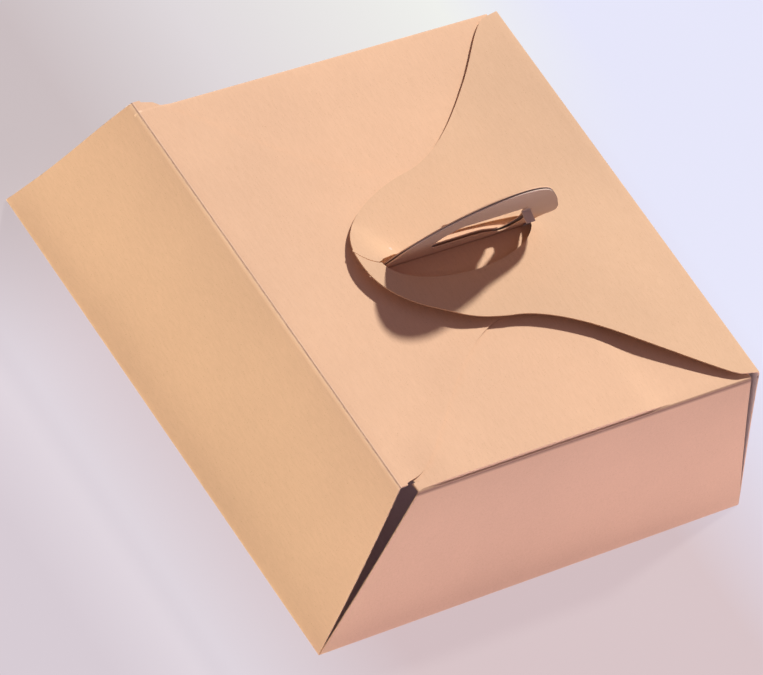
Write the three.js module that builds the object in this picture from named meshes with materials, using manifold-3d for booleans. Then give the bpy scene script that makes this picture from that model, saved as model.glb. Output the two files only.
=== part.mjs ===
// Square cake carton folded from one sheet of card, in millimetres with +Z up.
// The base is centred on the origin. +Y runs from the front wall to the back wall.
// Front and back flaps meet at the middle of the lid and stand up there as a two-ply handle.
// The left flap closes over them, and the top flap, on the right wall, closes over the left one.
import * as THREE from 'three';
import { mergeVertices } from 'three/addons/utils/BufferGeometryUtils.js';
import Module from 'manifold-3d';

// Card
const CARD = 0.6;
const PLY_GAP = 0.3;
const FOLD_RADIUS = 0.8;
const PITCH = CARD + PLY_GAP;

// Box
const BASE_SIDE = 300;
const LID_SIDE = 250;
const HEIGHT = 96;
const BASE_LAP = 12;

// Ends of the walls' top edges, measured from the lid's middle
const LEFT_TOP_FRONT = 120;
const LEFT_TOP_BACK = 128;
const RIGHT_TOP_HALF = 124.5;
const END_TOP_LEFT = 115.25;
const END_TOP_RIGHT = 118.75;

// Side flaps, shaped like petals: one edge on the crease, a waist and a round lobe
const PETAL_CORNER_X = 113;
const PETAL_CORNER_IN = 2;
const PETAL_SHOULDER_X = 90;
const PETAL_SHOULDER_HALF = 114;
const PETAL_WAIST_HALF = 48.5;
const PETAL_REACH = 65;
const PETAL_NECK_X = 45;
const PETAL_NECK_HALF = 54;
const LOBE_ROUND_X = 32;
const LOBE_ROUND_HALF = 42.5;
const LOBE_TIP_PULL = 26;

// Bow of the top flap over the flaps below it
const TOP_FLAP_LIFT = 5.5;
const LIFT_RUN = 95;

// End flaps, under the side flaps
const END_FLAP_HIP_HALF = 88;
const END_FLAP_HIP_Y = 60;
const END_FLAP_NECK_HALF = 58;
const END_FLAP_NECK_Y = 8;

// Handle, lengths measured along its plies from the fold
const HANDLE_HALF = 50;
const HANDLE_LENGTH = 63;
const FRONT_LEAN = 15.5;
const BACK_LEAN = 11.5;
const HAND_SLOT_HALF = 30;
const HAND_SLOT_LOW = 12.5;
const HAND_SLOT_HIGH = 39;
const HAND_SLOT_ROUND = 9;
const TAB_LENGTH = 25.5;
const TAB_SLOPE = 65;
const HOOK_TOP = 33;
const HOOK_LENGTH = 7;
const HOOK_WIDTH = 6;
const HOOK_SLOPE = 15;
const HOOK_IN = 2.5;

// Cut-outs in the side flaps that the handle passes through
const SLIT_CLEAR = 1.3;
const SLIT_END_CLEAR = 2;
const APERTURE_FRONT = 20.5;
const APERTURE_BACK = 7;
const APERTURE_SHIFT = 1;
const MOUTH_KNEE_IN = 3.5;
const MOUTH_KNEE_Y = 0.6;
const MOUTH_KNEE_WIDTH = 2.6;
const MOUTH_FOOT_HALF = 1;
const MOUTH_RISE = 14.5;
const MOUTH_END_WIDTH = 1;

// How far cutting shapes run past the card that they cut
const OVERRUN = 5;

const half = LID_SIDE / 2;
const foot = BASE_SIDE / 2 - CARD / 2;
const wallRun = (BASE_SIDE - LID_SIDE) / 2;
const radians = THREE.MathUtils.degToRad;

const wasm = await Module();
wasm.setup();

// Turns a closed three.js geometry into a solid for joining and cutting.
function solid(geometry) {
  const bare = geometry.index ? geometry.toNonIndexed() : geometry.clone();
  bare.deleteAttribute('normal');
  bare.deleteAttribute('uv');
  const merged = mergeVertices(bare, 1e-5);
  return new wasm.Manifold(new wasm.Mesh({
    numProp: 3,
    vertProperties: new Float32Array(merged.attributes.position.array),
    triVerts: new Uint32Array(merged.index.array),
  }));
}

function geometryOf(body) {
  const mesh = body.getMesh();
  const positions = new Float32Array(mesh.numVert * 3);
  for (let i = 0; i < mesh.numVert; i += 1) {
    for (let k = 0; k < 3; k += 1) positions[3 * i + k] = mesh.vertProperties[mesh.numProp * i + k];
  }
  const geometry = new THREE.BufferGeometry();
  geometry.setAttribute('position', new THREE.BufferAttribute(positions, 3));
  geometry.setIndex(new THREE.BufferAttribute(new Uint32Array(mesh.triVerts), 1));
  geometry.computeVertexNormals();
  return geometry;
}

// The outline's two coordinates lie along the first two axes, and it is swept along the third.
const PLANES = {
  xy: [new THREE.Vector3(1, 0, 0), new THREE.Vector3(0, 1, 0), new THREE.Vector3(0, 0, 1)],
  xz: [new THREE.Vector3(1, 0, 0), new THREE.Vector3(0, 0, 1), new THREE.Vector3(0, -1, 0)],
  yz: [new THREE.Vector3(0, 1, 0), new THREE.Vector3(0, 0, 1), new THREE.Vector3(1, 0, 0)],
};

// Prism of a 2-D outline between two places on the sweep axis.
function prism(outline, plane, from, to) {
  const shape = new THREE.Shape(outline.map(([u, v]) => new THREE.Vector2(u, v)));
  const geometry = new THREE.ExtrudeGeometry(shape, { depth: to - from, bevelEnabled: false });
  const [u, v, w] = PLANES[plane];
  geometry.applyMatrix4(new THREE.Matrix4().makeBasis(u, v, w));
  geometry.translate(w.x * from, w.y * from, w.z * from);
  return solid(geometry);
}

// Rounds the corners of a folded centreline to the fold radius.
function roundedPath(corners, radius) {
  const path = [corners[0]];
  for (let i = 1; i < corners.length - 1; i += 1) {
    const at = new THREE.Vector2(...corners[i]);
    const back = new THREE.Vector2(...corners[i - 1]).sub(at).normalize();
    const ahead = new THREE.Vector2(...corners[i + 1]).sub(at).normalize();
    const opening = Math.acos(THREE.MathUtils.clamp(back.dot(ahead), -1, 1));
    const cut = radius / Math.tan(opening / 2);
    const centre = back.clone().add(ahead).setLength(radius / Math.sin(opening / 2)).add(at);
    const start = back.clone().multiplyScalar(cut).add(at).sub(centre);
    const end = ahead.clone().multiplyScalar(cut).add(at).sub(centre);
    const turn = Math.atan2(start.cross(end), start.dot(end));
    const steps = 6;
    for (let k = 0; k <= steps; k += 1) {
      const p = start.clone().rotateAround(new THREE.Vector2(), (turn * k) / steps).add(centre);
      path.push([p.x, p.y]);
    }
  }
  path.push(corners[corners.length - 1]);
  return path;
}

// Closed outline of a strip of card whose centreline is the path.
function strip(path, roundStart = false) {
  const left = [];
  const right = [];
  path.forEach((p, i) => {
    const before = path[Math.max(i - 1, 0)];
    const after = path[Math.min(i + 1, path.length - 1)];
    const along = new THREE.Vector2(after[0] - before[0], after[1] - before[1]).normalize();
    left.push([p[0] - along.y * CARD / 2, p[1] + along.x * CARD / 2]);
    right.push([p[0] + along.y * CARD / 2, p[1] - along.x * CARD / 2]);
  });
  const outline = [...right, ...left.reverse()];
  if (roundStart) {
    const [x, y] = path[0];
    const first = Math.atan2(outline[outline.length - 1][1] - y, outline[outline.length - 1][0] - x);
    for (let k = 1; k < 8; k += 1) {
      const angle = first + (Math.PI * k) / 8;
      outline.push([x + (CARD / 2) * Math.cos(angle), y + (CARD / 2) * Math.sin(angle)]);
    }
  }
  return outline;
}

const mirrored = (outline, u, v) => outline.map(([a, b]) => [u * a, v * b]);
const wallX = (z) => BASE_SIDE / 2 - (wallRun * z) / HEIGHT;

// Half of a petal's edge, from its crease at x = +half to the tip past the lid's centre.
function petalEdge(creaseHalf) {
  const neck = new THREE.CubicBezierCurve(
    new THREE.Vector2(PETAL_CORNER_X, creaseHalf - PETAL_CORNER_IN),
    new THREE.Vector2(PETAL_SHOULDER_X, PETAL_SHOULDER_HALF),
    new THREE.Vector2(PETAL_NECK_X, PETAL_NECK_HALF),
    new THREE.Vector2(0, PETAL_WAIST_HALF),
  );
  const lobe = new THREE.CubicBezierCurve(
    new THREE.Vector2(0, PETAL_WAIST_HALF),
    new THREE.Vector2(-LOBE_ROUND_X, LOBE_ROUND_HALF),
    new THREE.Vector2(-PETAL_REACH, LOBE_TIP_PULL),
    new THREE.Vector2(-PETAL_REACH, 0),
  );
  const curve = [...neck.getPoints(36), ...lobe.getPoints(32).slice(1)].map((p) => [p.x, p.y]);
  return [[half + CARD, creaseHalf], ...curve];
}

function petalOutline(creaseFront, creaseBack) {
  const lower = mirrored(petalEdge(creaseFront), 1, -1).slice(0, -1).reverse();
  return [...petalEdge(creaseBack), ...lower];
}

// Front or back panel: wall, end flap and handle ply, folded from the base.
// side is -1 at the front and +1 at the back; lean is the ply's tilt towards the front.
function endPanel(side, lean) {
  const flapZ = HEIGHT - 2 * PITCH - CARD / 2;
  const foldY = side * (PITCH / 2);
  const tilt = radians(lean);
  const ply = HANDLE_LENGTH + CARD;
  const corners = [
    [side * (BASE_SIDE / 2 - BASE_LAP), CARD / 2],
    [side * (BASE_SIDE / 2 - CARD / 2), CARD / 2],
    [side * (wallX(flapZ) - CARD / 2), flapZ],
    [foldY, flapZ],
    [foldY - ply * Math.sin(tilt), flapZ + ply * Math.cos(tilt)],
  ];
  const sheet = prism(strip(roundedPath(corners, FOLD_RADIUS)), 'yz', -BASE_SIDE / 2, BASE_SIDE / 2);

  const wall = prism([
    [-foot, 0],
    [foot, 0],
    [END_TOP_RIGHT, HEIGHT],
    [-END_TOP_LEFT, HEIGHT],
  ], 'xz', side < 0 ? half - OVERRUN : -BASE_SIDE / 2, side < 0 ? BASE_SIDE / 2 : OVERRUN - half);
  const edge = [
    [END_FLAP_HIP_HALF, END_FLAP_HIP_Y],
    [END_FLAP_NECK_HALF, END_FLAP_NECK_Y],
    [HANDLE_HALF, FOLD_RADIUS + CARD],
    [HANDLE_HALF, -CARD],
  ];
  const outline = [
    [END_TOP_RIGHT, half],
    ...edge,
    ...mirrored(edge, -1, 1).reverse(),
    [-END_TOP_LEFT, half],
  ];
  const flap = prism(
    mirrored(outline, 1, side),
    'xy',
    flapZ - OVERRUN,
    flapZ + FOLD_RADIUS,
  );
  const arch = new THREE.EllipseCurve(0, 0, HANDLE_HALF, HANDLE_LENGTH * Math.cos(tilt), 0, Math.PI);
  const handle = prism(
    arch.getPoints(48).map((p) => [p.x, p.y + flapZ]),
    'xz',
    -OVERRUN,
    HANDLE_LENGTH,
  );
  const slot = prism(
    slotOutline(
      HAND_SLOT_HALF,
      flapZ + HAND_SLOT_LOW * Math.cos(tilt),
      flapZ + HAND_SLOT_HIGH * Math.cos(tilt),
    ),
    'xz',
    -OVERRUN,
    HANDLE_LENGTH,
  );
  return sheet.intersect(wall.add(flap).add(handle)).subtract(slot);
}

// Long slot with round ends, seen from the front.
function slotOutline(across, low, high) {
  const round = (high - low) / 2;
  const end = new THREE.EllipseCurve(
    across - HAND_SLOT_ROUND, low + round, HAND_SLOT_ROUND, round, -Math.PI / 2, Math.PI / 2,
  ).getPoints(12).map((p) => [p.x, p.y]);
  return [...end, ...mirrored(end, -1, 1).reverse()];
}

// Tab cut out of the back ply's hand slot, hanging from its top edge behind the handle.
function handTab() {
  const flapZ = HEIGHT - 2 * PITCH - CARD / 2;
  const tilt = radians(BACK_LEAN);
  const slope = radians(TAB_SLOPE);
  const onPly = (s) => [PITCH / 2 - s * Math.sin(tilt), flapZ + s * Math.cos(tilt)];
  const hinge = onPly(HAND_SLOT_HIGH + CARD / 2);
  const end = [hinge[0] + TAB_LENGTH * Math.cos(slope), hinge[1] - TAB_LENGTH * Math.sin(slope)];
  const path = [onPly(HAND_SLOT_HIGH + 4 * CARD), hinge, end];
  const sheet = prism(strip(path), 'yz', -HANDLE_HALF, HANDLE_HALF);
  const outline = slotOutline(HAND_SLOT_HALF - PLY_GAP, end[1] - CARD, hinge[1] + CARD);
  return sheet.intersect(prism(outline, 'xz', -HANDLE_HALF, HANDLE_HALF));
}

// Small hook left at the right end of the front ply's hand slot, folded forwards.
function slotHook() {
  const flapZ = HEIGHT - 2 * PITCH - CARD / 2;
  const tilt = radians(FRONT_LEAN);
  const slope = radians(HOOK_SLOPE);
  const onPly = (s) => [-PITCH / 2 - s * Math.sin(tilt), flapZ + s * Math.cos(tilt)];
  const bend = onPly(HOOK_TOP);
  const end = [bend[0] - HOOK_LENGTH * Math.cos(slope), bend[1] - HOOK_LENGTH * Math.sin(slope)];
  const path = roundedPath([onPly(HAND_SLOT_HIGH), bend, end], FOLD_RADIUS);
  const right = HAND_SLOT_HALF - HOOK_IN;
  return prism(strip(path), 'yz', right - HOOK_WIDTH, right);
}

// Left or right wall, up to the height of its centreline's last corner.
function sideWall(side, beyond) {
  const corners = [
    [side * (BASE_SIDE / 2 - BASE_LAP), CARD / 2],
    [side * (BASE_SIDE / 2 - CARD / 2), CARD / 2],
    ...beyond,
  ];
  return prism(strip(roundedPath(corners, FOLD_RADIUS)), 'xz', -BASE_SIDE / 2, BASE_SIDE / 2);
}

function sideWallOutline(side, topFront, topBack) {
  return prism([
    [-foot, 0],
    [foot, 0],
    [topBack, HEIGHT],
    [-topFront, HEIGHT],
  ], 'yz', side < 0 ? -BASE_SIDE / 2 : half - OVERRUN, side < 0 ? OVERRUN - half : BASE_SIDE / 2);
}

// Left wall with its flap, which has a slit for the handle that runs out at the lobe's tip.
function leftPanel() {
  const flapZ = HEIGHT - PITCH - CARD / 2;
  const sheet = sideWall(-1, [
    [-(wallX(flapZ) - CARD / 2), flapZ],
    [PETAL_REACH + OVERRUN, flapZ],
  ]);
  const petal = prism(
    mirrored(petalOutline(LEFT_TOP_FRONT, LEFT_TOP_BACK), -1, 1),
    'xy',
    flapZ - OVERRUN,
    flapZ + CARD,
  );
  const reach = HANDLE_HALF + SLIT_END_CLEAR;
  const slitHalf = PITCH / 2 + SLIT_CLEAR;
  const slitEnd = PETAL_REACH + OVERRUN;
  const slit = prism([
    [-reach, -slitHalf],
    [slitEnd, -slitHalf],
    [slitEnd, slitHalf],
    [-reach, slitHalf],
  ], 'xy', flapZ - CARD, flapZ + CARD);
  return sheet.intersect(sideWallOutline(-1, LEFT_TOP_FRONT, LEFT_TOP_BACK).add(petal)).subtract(slit);
}

// Right wall, cut off under the top flap's crease.
function rightPanel() {
  const top = HEIGHT - CARD - PLY_GAP;
  const sheet = sideWall(1, [[wallX(HEIGHT + OVERRUN) - CARD / 2, HEIGHT + OVERRUN]]);
  const below = prism([
    [0, 0],
    [BASE_SIDE, 0],
    [BASE_SIDE, top],
    [0, top],
  ], 'xz', -BASE_SIDE / 2, BASE_SIDE / 2);
  return sheet.intersect(sideWallOutline(1, RIGHT_TOP_HALF, RIGHT_TOP_HALF)).intersect(below);
}

function carton() {
  const base = prism([[-foot, -foot], [foot, -foot], [foot, foot], [-foot, foot]], 'xy', 0, CARD);
  return base
    .add(leftPanel())
    .add(rightPanel())
    .add(endPanel(-1, FRONT_LEAN))
    .add(endPanel(1, BACK_LEAN))
    .add(handTab())
    .add(slotHook());
}

// Top flap. Its crease end is round about the hinge line, and the sheet springs up from there.
function topFlap() {
  const hingeX = half - CARD / 2;
  const hingeZ = HEIGHT - CARD / 2;
  const length = hingeX + PETAL_REACH + OVERRUN;
  const path = [];
  const steps = 40;
  for (let i = 0; i <= steps; i += 1) {
    const run = (length * i) / steps;
    const rise = Math.min(run / LIFT_RUN, 1);
    path.push([hingeX - run, hingeZ + TOP_FLAP_LIFT * Math.sin((rise * Math.PI) / 2)]);
  }
  const sheet = prism(strip(path, true), 'xz', -half, half);
  const low = HEIGHT - OVERRUN;
  const high = HEIGHT + 3 * TOP_FLAP_LIFT;
  const petal = prism(petalOutline(RIGHT_TOP_HALF, RIGHT_TOP_HALF), 'xy', low, high);
  return sheet
    .intersect(petal)
    .subtract(prism(apertureOutline(), 'xy', low, high))
    .subtract(prism(mouthOutline(), 'xy', low, high));
}

// Opening that the leaning handle passes through as the top flap turns, deeper at the front.
function apertureOutline() {
  const reach = HANDLE_HALF + SLIT_END_CLEAR;
  const bowl = (depth, start, end) => new THREE.EllipseCurve(
    -APERTURE_SHIFT, 0, reach, depth, start, end,
  ).getPoints(32).map((p) => [p.x, p.y]);
  return [
    ...bowl(APERTURE_FRONT, Math.PI, 2 * Math.PI),
    ...bowl(APERTURE_BACK, 0, Math.PI).slice(1, -1),
  ];
}

// Narrow curved slit from the aperture's left end to the lobe's rim.
function mouthOutline() {
  const start = -HANDLE_HALF - SLIT_END_CLEAR;
  const knee = MOUTH_KNEE_IN - PETAL_REACH;
  const front = new THREE.QuadraticBezierCurve(
    new THREE.Vector2(start, -MOUTH_FOOT_HALF),
    new THREE.Vector2(knee, MOUTH_KNEE_Y),
    new THREE.Vector2(-PETAL_REACH, MOUTH_RISE),
  );
  const back = new THREE.QuadraticBezierCurve(
    new THREE.Vector2(MOUTH_END_WIDTH - PETAL_REACH, MOUTH_RISE),
    new THREE.Vector2(knee + MOUTH_KNEE_WIDTH / 2, MOUTH_KNEE_Y + MOUTH_KNEE_WIDTH),
    new THREE.Vector2(start, MOUTH_FOOT_HALF),
  );
  return [...front.getPoints(16), ...back.getPoints(16)].map((p) => [p.x, p.y]);
}

const card = (name, colour) => {
  const material = new THREE.MeshStandardMaterial({ color: colour, roughness: 0.72, metalness: 0 });
  material.name = name;
  return material;
};

function node(name, body, material) {
  const mesh = new THREE.Mesh(geometryOf(body), material);
  mesh.name = name;
  return mesh;
}

const cakeBox = new THREE.Group();
cakeBox.add(node('carton', carton(), card('carton_card', 0xecc39c)));
cakeBox.add(node('top_flap', topFlap(), card('flap_card', 0xeac09a)));

export default cakeBox;
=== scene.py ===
import bpy
import bmesh
import math
from mathutils import Matrix, Vector


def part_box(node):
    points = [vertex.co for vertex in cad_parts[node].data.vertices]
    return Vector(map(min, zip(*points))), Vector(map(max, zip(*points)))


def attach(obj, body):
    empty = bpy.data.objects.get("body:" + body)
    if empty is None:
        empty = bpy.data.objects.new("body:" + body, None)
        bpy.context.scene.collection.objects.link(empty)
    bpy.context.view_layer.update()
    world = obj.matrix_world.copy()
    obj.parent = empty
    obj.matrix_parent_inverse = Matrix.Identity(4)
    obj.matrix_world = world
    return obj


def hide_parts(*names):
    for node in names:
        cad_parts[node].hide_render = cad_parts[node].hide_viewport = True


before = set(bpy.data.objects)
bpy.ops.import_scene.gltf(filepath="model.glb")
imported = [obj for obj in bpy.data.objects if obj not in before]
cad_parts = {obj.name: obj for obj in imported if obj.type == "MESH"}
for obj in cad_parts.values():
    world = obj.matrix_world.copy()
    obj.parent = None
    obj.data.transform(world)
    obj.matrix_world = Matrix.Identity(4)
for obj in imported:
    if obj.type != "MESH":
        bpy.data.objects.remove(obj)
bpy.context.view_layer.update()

# The folded box, in metres
LID_HALF = 0.125
BASE_SIDE = 0.300
HEIGHT = 0.096
FOLD_Z = 0.0939
BASE_TOP = 0.0007
LID_BOTTOM = 0.0925
END_FLAPS_Z = (0.0930, 0.0942)
LEFT_FLAP_Z = (0.0942, 0.0954)
ABOVE_FLAPS = 0.0958
ABOVE_LID = 0.102

# The plane halfway between the handle's plies: its y at the folds, and how it slopes to the front
PLIES_MIDDLE_Y = 0.00045
PLIES_SLOPE = 0.24

# Camera, at the photograph's viewing angle
CAMERA_AT = Vector((-2.2255386, -1.1896905, 2.43228404))
CAMERA_RIGHT = Vector((0.73469114, -0.54177876, 0.40829487))
CAMERA_UP = Vector((0.2357894, 0.76825441, 0.59513739))
CAMERA_BACK = Vector((-0.63610713, -0.34097057, 0.6921754))
FOCAL_PIXELS = 6709.0
IMAGE_WIDTH = 763.0
SENSOR_WIDTH = 36.0

# Card colours: the two sheets, painted skylight on the handle's front ply, painted shade under the
# front crease and the reverse
CARTON_COLOUR = (0.83, 0.535, 0.345)
FLAP_COLOUR = (0.765, 0.50, 0.315)
PLY_PAINTED_SKYLIGHT = (0.72, 0.585, 0.51)
CREASE_PAINTED_SHADE = (0.26, 0.12, 0.075)
INNER = (0.80, 0.65, 0.57)
WHITE = (1.0, 1.0, 1.0)
BLACK = (0.0, 0.0, 0.0)

# Creases on the card, with the painted shade under the front crease and the painted skylight on the
# handle's front ply, in metres
CREASE_HALF = 0.0009
CREASE_FROM_Z = HEIGHT - 0.004
# Where the left crease is painted paler, as painted light on its rounding
LEFT_CREASE_X = (-0.122, -0.1235)
# The painted shade under the front crease: its height and half width
CREASE_SHADE_Z = 0.0926
CREASE_SHADE_HALF = 0.0020
FRONT_WALL_Y = -0.1248
# The height over which the painted skylight on the handle's front ply comes in
PLY_SKYLIGHT_Z = (0.104, 0.122)
FRONT_PLY_DEPTH = 0.0230

# Colours of the floor as it is seen, and of the light that it throws
FLOOR_FAR_LEFT = (0.625, 0.555, 0.612)
FLOOR_LEFT = (0.726, 0.663, 0.722)
FLOOR_FRONT = (0.63, 0.505, 0.525)
FLOOR_RIGHT = (0.74, 0.75, 0.915)
FLOOR_BACK_LEFT = (0.535, 0.465, 0.48)
FLOOR_BACK = (0.68, 0.64, 0.665)
FLOOR_BACK_RIGHT = (0.815, 0.83, 0.80)
FLOOR_SHADE = (0.05, 0.048, 0.05)
FLOOR_BOUNCE = (0.32, 0.30, 0.32)
GLOW_LEFT = (3.08, 2.98, 2.38)
GLOW_FRONT = (2.6, 2.15, 2.45)

# The band of thrown light, in metres from the base's middle
GLOW_FROM = 0.14
GLOW_RISE = (0.17, 0.23)
GLOW_FALL = (0.39, 0.33)
GLOW_ENDS = (0.6, 0.45)
GLOW_LEAST = 0.51


def make_camera():
    data = bpy.data.cameras.new("camera")
    data.sensor_width = SENSOR_WIDTH
    data.lens = FOCAL_PIXELS / IMAGE_WIDTH * SENSOR_WIDTH
    data.clip_start, data.clip_end = 0.1, 50.0
    camera = bpy.data.objects.new("camera", data)
    bpy.context.scene.collection.objects.link(camera)
    turn = Matrix((CAMERA_RIGHT, CAMERA_UP, CAMERA_BACK)).transposed()
    camera.matrix_world = Matrix.Translation(CAMERA_AT) @ turn.to_4x4()
    bpy.context.scene.camera = camera


# Materials

class Look:
    """A new material, with a short call for each kind of node."""

    def __init__(self, name):
        self.material = bpy.data.materials.new(name)
        self.material.use_nodes = True
        self.nodes = self.material.node_tree.nodes
        self.links = self.material.node_tree.links
        self.shader = self.nodes["Principled BSDF"]
        self.place = self.nodes.new("ShaderNodeTexCoord").outputs["Object"]
        split = self.nodes.new("ShaderNodeSeparateXYZ")
        self.feed(split.inputs["Vector"], self.place)
        self.x, self.y, self.z = (split.outputs[axis] for axis in "XYZ")

    def feed(self, socket, value):
        """Sets a socket to a number or a colour, or links another node's output to it."""
        if isinstance(value, (float, int)):
            socket.default_value = value
        elif isinstance(value, tuple):
            socket.default_value = (*value, 1.0)
        else:
            self.links.new(value, socket)

    def noise(self, scale, detail, rough, stretch=(1.0, 1.0, 1.0)):
        mapping = self.nodes.new("ShaderNodeMapping")
        mapping.inputs["Scale"].default_value = stretch
        self.feed(mapping.inputs["Vector"], self.place)
        made = self.nodes.new("ShaderNodeTexNoise")
        made.inputs["Scale"].default_value = scale
        made.inputs["Detail"].default_value = detail
        made.inputs["Roughness"].default_value = rough
        self.feed(made.inputs["Vector"], mapping.outputs["Vector"])
        return made.outputs["Fac"]

    def attribute(self, name):
        made = self.nodes.new("ShaderNodeAttribute")
        made.attribute_name = name
        return made.outputs["Fac"]

    def ramp(self, value, stops):
        made = self.nodes.new("ShaderNodeValToRGB")
        elements = made.color_ramp.elements
        while len(elements) < len(stops):
            elements.new(0.5)
        for element, (place, colour) in zip(elements, stops):
            element.position = place
            element.color = (*colour, 1.0)
        self.feed(made.inputs["Fac"], value)
        return made.outputs["Color"]

    def mix(self, factor, a, b, mode="MIX"):
        made = self.nodes.new("ShaderNodeMix")
        made.data_type = "RGBA"
        made.blend_type = mode
        for socket, value in (("Factor", factor), ("A", a), ("B", b)):
            self.feed(made.inputs[socket], value)
        return made.outputs["Result"]

    def maths(self, operation, a, b=0.0, clamp=False):
        made = self.nodes.new("ShaderNodeMath")
        made.operation = operation
        made.use_clamp = clamp
        for socket, value in zip(made.inputs, (a, b)):
            self.feed(socket, value)
        return made.outputs["Value"]

    def times(self, *values):
        product = values[0]
        for value in values[1:]:
            product = self.maths("MULTIPLY", product, value)
        return product

    def ease(self, span, value):
        """0 at the span's start, 1 at its end and smooth between."""
        made = self.nodes.new("ShaderNodeMapRange")
        made.interpolation_type = "SMOOTHSTEP"
        made.inputs["From Min"].default_value, made.inputs["From Max"].default_value = span
        self.feed(made.inputs["Value"], value)
        return made.outputs["Result"]

    def line(self, value, at, half):
        """1 where the value is at its place, falling to 0 at a half width from there."""
        off = self.maths("ABSOLUTE", self.maths("SUBTRACT", value, at))
        return self.maths("SUBTRACT", 1.0, self.maths("DIVIDE", off, half), clamp=True)


def tinted(colour, factor, lift=0.0):
    return tuple(min(1.0, part * factor + lift) for part in colour)


def card_material(name, colour):
    """Uncoated card: fibres, faint flecks, cloudy tone, creases worn and painted pale, a paler reverse,
    painted skylight on the handle's front ply and painted shade under the front crease.
    """
    look = Look(name)
    clouds = look.noise(scale=9.0, detail=4.0, rough=0.55)
    fibres = look.noise(scale=900.0, detail=3.0, rough=0.6, stretch=(1.0, 0.22, 1.0))
    cross = look.noise(scale=1500.0, detail=2.0, rough=0.6, stretch=(0.3, 1.0, 1.0))
    flecks = look.noise(scale=2600.0, detail=1.0, rough=0.4, stretch=(1.0, 0.6, 1.0))

    tone = look.ramp(clouds, [(0.3, tinted(colour, 0.945)), (0.7, tinted(colour, 1.04))])
    tone = look.mix(look.attribute("inner"), tone, INNER)
    fibre_tone = look.ramp(fibres, [(0.25, (0.93, 0.92, 0.90)), (0.75, WHITE)])
    tone = look.mix(1.0, tone, fibre_tone, "MULTIPLY")
    fleck_tone = look.ramp(flecks, [(0.24, (0.80, 0.76, 0.70)), (0.32, WHITE)])
    tone = look.mix(1.0, tone, fleck_tone, "MULTIPLY")

    # Creases are worn pale and painted paler still, as painted light on the folds' rounding, which the
    # lamps leave dark; most of all the left one
    out = [look.maths("ABSOLUTE", value) for value in (look.x, look.y)]
    creases = [look.line(value, LID_HALF, CREASE_HALF) for value in out]
    crease = look.maths("MAXIMUM", *creases)
    high = look.maths("GREATER_THAN", look.z, CREASE_FROM_Z)
    wear_and_light = look.maths("ADD", look.times(look.ease(LEFT_CREASE_X, look.x), 1.2), 0.2)
    worn_and_lit = look.maths("MULTIPLY", look.times(crease, high), wear_and_light, clamp=True)
    tone = look.mix(worn_and_lit, tone, tinted(colour, 1.12, 0.10))

    # Painted light: the handle's front ply, which is in shade, is painted greyer towards its top for
    # the sky's light on it
    depth = look.maths("ADD", look.y, look.times(look.z, PLIES_SLOPE))
    front_ply = look.maths("LESS_THAN", depth, FRONT_PLY_DEPTH)
    tone = look.mix(look.times(look.ease(PLY_SKYLIGHT_Z, look.z), front_ply), tone, PLY_PAINTED_SKYLIGHT)

    # Painted shade: a dark line just under the front crease, where the crease's groove shades the wall
    at_front = look.maths("LESS_THAN", look.y, FRONT_WALL_Y)
    crease_shade = look.times(look.line(look.z, CREASE_SHADE_Z, CREASE_SHADE_HALF), at_front, 0.9)
    look.feed(look.shader.inputs["Base Color"], look.mix(crease_shade, tone, CREASE_PAINTED_SHADE))

    rough = look.nodes.new("ShaderNodeMapRange")
    rough.inputs["To Min"].default_value = 0.62
    rough.inputs["To Max"].default_value = 0.80
    look.feed(rough.inputs["Value"], cross)
    look.feed(look.shader.inputs["Roughness"], rough.outputs["Result"])
    look.shader.inputs["Specular IOR Level"].default_value = 0.32
    look.shader.inputs["Sheen Weight"].default_value = 0.06
    look.shader.inputs["Sheen Roughness"].default_value = 0.5

    bump = look.nodes.new("ShaderNodeBump")
    bump.inputs["Strength"].default_value = 0.10
    bump.inputs["Distance"].default_value = 0.0002
    look.feed(bump.inputs["Height"], look.maths("ADD", fibres, look.times(cross, 0.6)))
    look.feed(look.shader.inputs["Normal"], bump.outputs["Normal"])
    return look.material


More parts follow.
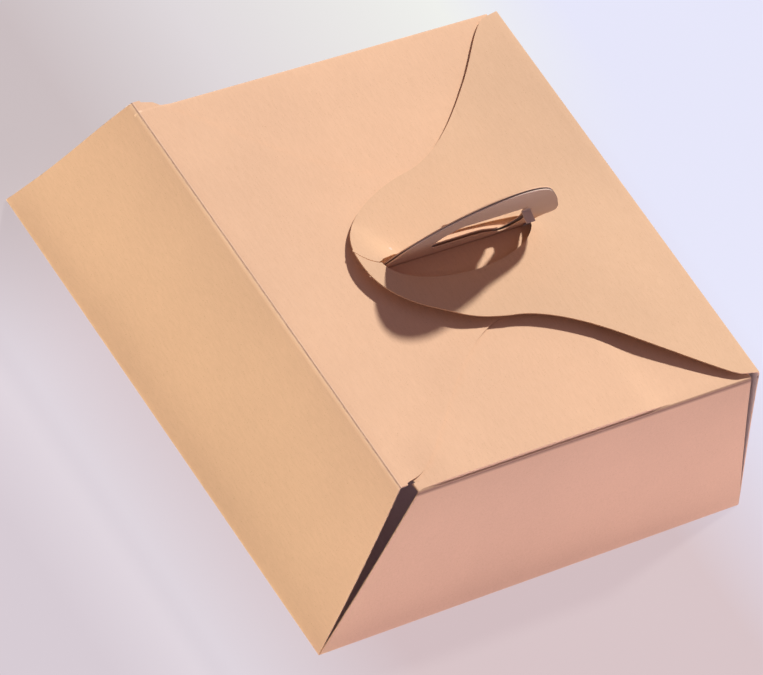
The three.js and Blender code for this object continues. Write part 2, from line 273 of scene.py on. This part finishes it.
def floor_material():
    """Pale paper, evenly bright to the eye, that throws light up at the left and front walls."""
    look = Look("floor_paper")

    # Seen: grey lavender at the left, rosy at the front, near white at the back
    side = look.maths("ADD", look.times(look.x, 1.5), 0.5)
    near = look.ramp(side, [
        (0.10, FLOOR_FAR_LEFT), (0.20, FLOOR_LEFT),
        (0.35, FLOOR_FRONT), (0.65, FLOOR_FRONT), (0.85, FLOOR_RIGHT),
    ])
    far = look.ramp(side, [
        (0.38, FLOOR_BACK_LEFT), (0.54, FLOOR_BACK), (0.78, FLOOR_BACK_RIGHT), (0.9, FLOOR_RIGHT),
    ])
    seen = look.mix(look.ease((0.04, 0.19), look.y), near, far)
    clouds = look.noise(scale=3.0, detail=2.0, rough=0.5)
    grain = look.ramp(clouds, [(0.3, (0.985, 0.985, 0.985)), (0.7, WHITE)])
    seen = look.mix(1.0, seen, grain, "MULTIPLY")

    # Thrown: a band of light along the left wall, warm, and along the front wall, rosy
    left, front = look.times(look.x, -1.0), look.times(look.y, -1.0)
    out = look.maths("MAXIMUM", left, front)
    rise = look.maths("ADD", look.times(look.ease(GLOW_RISE, out), 1.0 - GLOW_LEAST), GLOW_LEAST)
    band = look.times(rise, look.maths("GREATER_THAN", out, GLOW_FROM), look.ease(GLOW_FALL, out))
    for value in (look.x, look.y):
        band = look.times(band, look.ease(GLOW_ENDS, look.maths("ABSOLUTE", value)))
    lean = look.maths("SUBTRACT", left, front)
    glow = look.mix(look.ease((-0.03, 0.03), lean), GLOW_FRONT, GLOW_LEFT)
    glow = look.mix(band, BLACK, glow)

    eye = look.nodes.new("ShaderNodeLightPath").outputs["Is Camera Ray"]
    look.feed(look.shader.inputs["Base Color"], look.mix(eye, FLOOR_BOUNCE, FLOOR_SHADE))
    look.feed(look.shader.inputs["Emission Color"], look.mix(eye, glow, seen))
    look.shader.inputs["Emission Strength"].default_value = 1.0
    look.shader.inputs["Roughness"].default_value = 0.9
    look.shader.inputs["Specular IOR Level"].default_value = 0.1
    return look.material


# Curves and spans, a span being a pair of places where a change starts and ends

def up_to(value):
    return min(1.0, max(0.0, value))


def ease(span, value):
    """0 at the span's start, 1 at its end and smooth between."""
    start, end = span
    t = up_to((value - start) / (end - start))
    return t * t * (3.0 - 2.0 * t)


def lies_in(span, value):
    return span[0] < value < span[1]


def bezier(points, t):
    """A point of the curve with the given three or four control points."""
    while len(points) > 1:
        points = [
            tuple(p + (q - p) * t for p, q in zip(start, end)) for start, end in zip(points, points[1:])
        ]
    return points[0]


# A side flap's free edge: x from the lid's middle towards its crease, and half width
PETAL_NECK = ((0.113, 0.118), (0.090, 0.114), (0.045, 0.054), (0.0, 0.0485))
PETAL_LOBE = ((0.0, 0.0485), (-0.032, 0.0425), (-0.065, 0.026), (-0.065, 0.0))
PETAL_STEPS = 24
LEAST_HALF = 0.001


def petal_edge():
    steps = [i / PETAL_STEPS for i in range(PETAL_STEPS + 1)]
    return [bezier(PETAL_NECK, t) for t in steps] + [bezier(PETAL_LOBE, t) for t in steps[1:]]


EDGE = petal_edge()


def half_width(x):
    for (x0, y0), (x1, y1) in zip(EDGE, EDGE[1:]):
        if x1 <= x <= x0:
            return y0 + (y1 - y0) * (x0 - x) / (x0 - x1)
    return EDGE[0][1] if x > EDGE[0][0] else LEAST_HALF


# Slack of the walls and the lid
SIDE_SLACK = 0.0016
END_SLACK = 0.0014
LID_SAG = 0.0010
NEAR_WALL = (0.112, 0.124)
LID_FROM_Z = (0.086, 0.0935)
HANDLE_FROM_Z = (0.104, 0.112)
SAG_SPAN = (0.0, 0.13)


def bent(p):
    """Where a point of a flat-faced sheet lies on the slightly slack one."""
    x, y, z = p
    belly = math.sin(math.pi * up_to(z / HEIGHT))
    run_x, run_y = (max(0.0, math.cos(math.pi * value / BASE_SIDE)) for value in (x, y))
    dx = SIDE_SLACK * belly * run_y * (ease(NEAR_WALL, -x) - ease(NEAR_WALL, x))
    dy = END_SLACK * belly * run_x * (ease(NEAR_WALL, -y) - ease(NEAR_WALL, y))
    sag = 1.0 - ease(SAG_SPAN, max(abs(x), abs(y)))
    dz = -LID_SAG * ease(LID_FROM_Z, z) * sag * (1.0 - ease(HANDLE_FROM_Z, z))
    return Vector((x + dx, y + dy, z + dz))


# The carton's flaps and walls
EDGE_LIFT = 0.0017
EDGE_LIFT_OUT = (0.72, 1.0)
EDGE_LIFT_LEFT = (0.118, 0.09)
EDGE_LIFT_RIGHT = (0.062, 0.04)
RUN_ON = 0.008
RUN_ON_FLAP_X = (-0.1165, -0.05)
RUN_ON_X = (0.06, 0.11)
RUN_ON_Y = (0.1215, 0.112)
EAR = 0.0030
EAR_X = (0.104, 0.118)
EAR_Y = (0.112, 0.122)
EAR_Z = (0.02, 0.09)
BOW = 0.0012
BOW_X = (0.105, 0.116)


def bend_flaps(moved, x, y, z):
    if lies_in(LEFT_FLAP_Z, z) and y < 0 and abs(x) < EDGE_LIFT_LEFT[0]:
        # The left flap's front edge stands up a little from the flap under it
        out = -y / half_width(-x)
        lift = ease(EDGE_LIFT_OUT, out) * ease(EDGE_LIFT_LEFT, -x) * ease(EDGE_LIFT_RIGHT, x)
        moved.z += EDGE_LIFT * lift
    if lies_in(END_FLAPS_Z, z) and y < -0.05 and lies_in(RUN_ON_FLAP_X, x):
        # The front flap's left side runs on under the left flap
        moved.x -= RUN_ON * ease(RUN_ON_X, -x) * ease(RUN_ON_Y, -y)


def bend_corners(moved, x, y, z):
    if x < -0.10 and y > 0.11:
        # The left wall's back end stands out past the back wall
        moved.y += EAR * ease(EAR_X, -x) * ease(EAR_Y, y) * ease(EAR_Z, z)
    if x < -0.10 and y < -0.122:
        # The front wall's left edge bows away from the left wall
        moved.x += BOW * ease(BOW_X, -x) * math.sin(math.pi * up_to(z / HEIGHT))


# The handle: its plies part with height, and it leans to the right
PLIES_GAP = 0.0002
PLIES_SPREAD = 0.074
HANDLE_DEPTH = 0.03
RIM_HALF = 0.051
RIM_HEIGHT = 0.0607
LEAST_RIM = 0.05
MEET_SPAN = (0.62, 0.97)
MEET_FRONT = 0.52
MEET_BACK = -0.40
LEAN_RIGHT = 0.085

# The hand slot's lower right corner, pushed out
CORNER_OUT = 0.006
CORNER_DOWN = 0.0036
CORNER_LEFT = (0.010, 0.020)
CORNER_RIGHT = (0.042, 0.034)
CORNER_TOP = (0.122, 0.112)
CORNER_FOOT = (0.097, 0.102)

# The hand slot's tab, behind the plies
TAB_TOP = 0.1325
TAB_BEHIND_Y = 0.0012
BACK_PLY_SLOPE = 0.2035
TAB_IN = 0.0110
TAB_IN_BEHIND = (0.001, 0.005)
TAB_IN_X = (-0.012, -0.025)
TAB_UP = 0.0018
TAB_UP_BEHIND = (0.000, 0.005)

# The handle's right end, bent forwards
END_FORWARD = 0.0050
END_RIGHT = 0.0036
END_X = (0.030, 0.048)
END_Z = (0.10, 0.125)


def plies_middle(z):
    """y of the plane halfway between the handle's plies."""
    return PLIES_MIDDLE_Y - PLIES_SLOPE * (z - FOLD_Z)


def bend_handle(moved, x, y, z):
    above = z - FOLD_Z
    moved.x += LEAN_RIGHT * (z - ABOVE_FLAPS)

    # The plies' upper parts rest against each other
    rim = max(LEAST_RIM, math.sqrt(up_to(1.0 - (x / RIM_HALF) ** 2)))
    meet = (PLIES_GAP + PLIES_SPREAD * above) * ease(MEET_SPAN, above / RIM_HEIGHT / rim)
    moved.y += meet * (MEET_FRONT if y < plies_middle(z) else MEET_BACK)

    corner = ease(CORNER_LEFT, x) * ease(CORNER_RIGHT, x) * ease(CORNER_TOP, z) * ease(CORNER_FOOT, z)
    moved.x += CORNER_OUT * corner
    moved.z -= CORNER_DOWN * corner

    # The tab hangs a little higher, its left corner drawn in
    behind = y - (TAB_BEHIND_Y - BACK_PLY_SLOPE * above)
    if z < TAB_TOP:
        moved.x += TAB_IN * ease(TAB_IN_BEHIND, behind) * ease(TAB_IN_X, x)
        moved.z += TAB_UP * ease(TAB_UP_BEHIND, behind)

    right_end = ease(END_X, x) * ease(END_Z, z)
    moved.y -= END_FORWARD * right_end
    moved.x += END_RIGHT * right_end


def carton_shape(p):
    x, y, z = p
    moved = bent(p)
    bend_flaps(moved, x, y, z)
    bend_corners(moved, x, y, z)
    if z > ABOVE_FLAPS and abs(y) < HANDLE_DEPTH:
        bend_handle(moved, x, y, z)
    return moved


# The slit at the top flap's lobe, and how much of its width is left
MOUTH_FRONT = ((-0.052, -0.001), (-0.0615, 0.0006), (-0.065, 0.0145))
MOUTH_BACK = ((-0.052, 0.001), (-0.0602, 0.0032), (-0.064, 0.0145))
MOUTH_X = (-0.0645, -0.0515)
MOUTH_Y = (0.0005, 0.015)
MOUTH_STEPS = 64
MOUTH_NEAR = 0.0004
MOUTH_LEFT_OPEN = 0.25
MOUTH_FOOT_OPEN = 0.6
MOUTH_FOOT = (0.12, 0.0)


def closed_mouth(x, y):
    """Draws the back rim of the slit at the lobe up to its front rim."""
    if not (lies_in(MOUTH_X, x) and lies_in(MOUTH_Y, y)):
        return x, y
    steps = (i / MOUTH_STEPS for i in range(MOUTH_STEPS + 1))
    near = min(steps, key=lambda t: math.dist(bezier(MOUTH_BACK, t), (x, y)))
    back, front = bezier(MOUTH_BACK, near), bezier(MOUTH_FRONT, near)
    if math.dist(back, (x, y)) > MOUTH_NEAR:
        return x, y
    keep = MOUTH_LEFT_OPEN + MOUTH_FOOT_OPEN * ease(MOUTH_FOOT, near)
    return tuple(f + (b - f) * keep for f, b in zip(front, back))


# The top flap's bow, and how it lies down behind the handle
FLAP_LIFT = 0.0055
FLAP_LIFT_RUN = 0.095
LIE_DOWN = 0.93
LIE_START = -0.002
LIE_END = 0.008
LIE_LOBE_X = (-0.034, -0.054)
LIE_LOBE_END = 0.026
LIE_RIGHT_X = (0.040, 0.065)
LIE_RIGHT_START = -0.016
LIE_RIGHT_END = 0.022

# The top flap's edges and its aperture's back rim, drawn to the front
BACK_EDGE_FROM = 0.02
BACK_EDGE_DRAW = 0.05
BACK_EDGE_X = (0.118, 0.075)
FRONT_EDGE_DRAW = 0.0030
FRONT_EDGE_Y = (0.03, 0.042)
FRONT_EDGE_LEFT = (-0.045, -0.015)
FRONT_EDGE_RIGHT = (0.105, 0.06)
RIM_DRAW = 0.0020
RIM_X = (-0.06, -0.02)
RIM_Y = (-0.002, 0.016)
RIM_LEFT = (-0.058, -0.044)
RIM_RIGHT = (-0.020, -0.034)
RIM_FRONT = (-0.002, 0.003)
RIM_BACK = (0.016, 0.007)


def flap_drop(x, y):
    """How far the flap lies down on the one under it, behind the handle."""
    rise = FLAP_LIFT * math.sin(math.pi / 2 * up_to((LID_HALF - x) / FLAP_LIFT_RUN))
    right = ease(LIE_RIGHT_X, x)
    start = LIE_START + LIE_RIGHT_START * right
    end = LIE_END + LIE_LOBE_END * ease(LIE_LOBE_X, x) + LIE_RIGHT_END * right
    return LIE_DOWN * rise * ease((start, end), y)


def flap_shape(p):
    x, y = closed_mouth(p[0], p[1])
    moved = bent((x, y, p[2]))
    moved.z -= flap_drop(x, y)
    if y > BACK_EDGE_FROM:
        moved.y -= BACK_EDGE_DRAW * (y - BACK_EDGE_FROM) * ease(BACK_EDGE_X, x)
    if lies_in(RIM_X, x) and lies_in(RIM_Y, y):
        # The aperture's back rim comes up to the handle's left end
        along = ease(RIM_LEFT, x) * ease(RIM_RIGHT, x)
        moved.y -= RIM_DRAW * along * ease(RIM_FRONT, y) * ease(RIM_BACK, y)
    middle = ease(FRONT_EDGE_LEFT, x) * ease(FRONT_EDGE_RIGHT, x)
    moved.y -= FRONT_EDGE_DRAW * middle * ease(FRONT_EDGE_Y, -y)
    return moved


# The folded sheets, cut into a fine grid and bent
GRID = 0.006
UNCUT_Z = (0.093, 0.104)
MERGE = 1e-6
ON_PLANE = 1e-7
FLAT_DEGREES = 0.2
SHARP_DEGREES = 28
LEAST_PAINTED = 2e-6
FACING = 0.7
FACING_PLY = 0.5


def is_inner(face, is_carton):
    """Whether a face of the flat-faced sheet is on the card's reverse, the box's inside."""
    if face.calc_area() < LEAST_PAINTED:
        return False
    x, y, z = face.calc_center_median()
    normal = face.normal
    if z > ABOVE_LID or (z > ABOVE_FLAPS and is_carton):
        middle = plies_middle(z)
        return (normal.y > FACING_PLY and y < middle) or (normal.y < -FACING_PLY and y > middle)
    if z > LID_BOTTOM or z < BASE_TOP:
        return abs(normal.z) > FACING and (normal.z < 0) == (z > HEIGHT / 2)
    return max(-normal.x * math.copysign(1, x), -normal.y * math.copysign(1, y)) > FACING


def cut_grid(bm, low, high):
    """Cuts a mesh along planes about a grid step apart, but not between the lid's flaps."""
    for axis in range(3):
        size = high[axis] - low[axis]
        steps = int(size / GRID)
        for i in range(1, steps + 1):
            at, across = Vector((0, 0, 0)), Vector((0, 0, 0))
            at[axis] = low[axis] + i * size / (steps + 1)
            across[axis] = 1.0
            if axis == 2 and lies_in(UNCUT_Z, at[2]):
                continue
            everything = bm.verts[:] + bm.edges[:] + bm.faces[:]
            bmesh.ops.bisect_plane(bm, geom=everything, dist=ON_PLANE, plane_co=at, plane_no=across)


def slack_sheet(node, name, material, body, shape):
    """A copy of a CAD sheet, with its flat faces cut into a grid and bent."""
    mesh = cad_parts[node].data.copy()
    mesh.name = name
    bm = bmesh.new()
    bm.from_mesh(mesh)
    bmesh.ops.remove_doubles(bm, verts=bm.verts, dist=MERGE)
    bmesh.ops.dissolve_limit(bm, angle_limit=math.radians(FLAT_DEGREES), verts=bm.verts, edges=bm.edges)
    cut_grid(bm, *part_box(node))
    inner = bm.faces.layers.float.new("inner")
    bm.normal_update()
    for face in bm.faces:
        face[inner] = 1.0 if is_inner(face, node == "carton") else 0.0
    for vert in bm.verts:
        vert.co = shape(vert.co)
    bmesh.ops.triangulate(bm, faces=[face for face in bm.faces if len(face.verts) > 4])
    for face in bm.faces:
        face.smooth = True
        face.material_index = 0
    sharp = math.radians(SHARP_DEGREES)
    for edge in bm.edges:
        edge.smooth = not (len(edge.link_faces) == 2 and edge.calc_face_angle(0.0) > sharp)
    bm.to_mesh(mesh)
    bm.free()
    mesh.materials.clear()
    mesh.materials.append(material)
    sheet = bpy.data.objects.new(name, mesh)
    bpy.context.scene.collection.objects.link(sheet)
    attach(sheet, body)
    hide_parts(node)
    return sheet


# Stage

def make_floor():
    bm = bmesh.new()
    bmesh.ops.create_grid(bm, x_segments=40, y_segments=40, size=6.0)
    mesh = bpy.data.meshes.new("floor")
    bm.to_mesh(mesh)
    bm.free()
    mesh.materials.append(floor_material())
    floor = bpy.data.objects.new("floor", mesh)
    floor.location.z = -0.0002
    bpy.context.scene.collection.objects.link(floor)


def make_light(name, kind, power, colour):
    data = bpy.data.lights.new(name, kind)
    data.energy = power
    data.color = colour
    light = bpy.data.objects.new(name, data)
    bpy.context.scene.collection.objects.link(light)
    return light


def turn_light(light, away):
    """Turns a light so that it shines against the direction given."""
    light.rotation_mode = "QUATERNION"
    light.rotation_quaternion = away.to_track_quat("Z", "Y")


def make_sun(name, towards, strength, angle, colour):
    light = make_light(name, "SUN", strength, colour)
    light.data.angle = math.radians(angle)
    turn_light(light, Vector(towards).normalized())


def make_panel(name, at, size, power, colour):
    light = make_light(name, "AREA", power, colour)
    light.data.shape = "RECTANGLE"
    light.data.size, light.data.size_y = size
    light.location = at
    turn_light(light, Vector(at) - Vector((0, 0, 0.05)))


def make_inside():
    """A dim lamp in the closed box, for the light that leaks in at its corners."""
    light = make_light("inside", "POINT", 0.0315, (0.72, 0.64, 0.95))
    light.data.shadow_soft_size = 0.03
    light.location = (0.0, 0.0, 0.05)


def make_world(colour, strength):
    world = bpy.data.worlds.new("studio")
    world.use_nodes = True
    background = world.node_tree.nodes["Background"]
    background.inputs["Color"].default_value = (*colour, 1.0)
    background.inputs["Strength"].default_value = strength
    bpy.context.scene.world = world


def make_lights():
    make_sun("key", towards=(0.645, 0.348, 0.680), strength=3.86, angle=4.0, colour=(1.0, 0.97, 0.90))
    make_panel("left_fill", at=(-2.4, -0.3, 1.0), size=(1.8, 1.1), power=6.0, colour=(1.0, 0.84, 0.76))
    make_inside()
    make_world(colour=(1.0, 0.70, 0.88), strength=0.19)


bpy.context.scene.view_settings.view_transform = "Standard"
make_camera()
carton_card = card_material("carton_card_look", CARTON_COLOUR)
flap_card = card_material("flap_card_look", FLAP_COLOUR)
carton = slack_sheet("carton", "carton_sheet", carton_card, "box", carton_shape)
flap = slack_sheet("top_flap", "top_flap_sheet", flap_card, "lid", flap_shape)
make_floor()
make_lights()

bpy.context.view_layer.update()
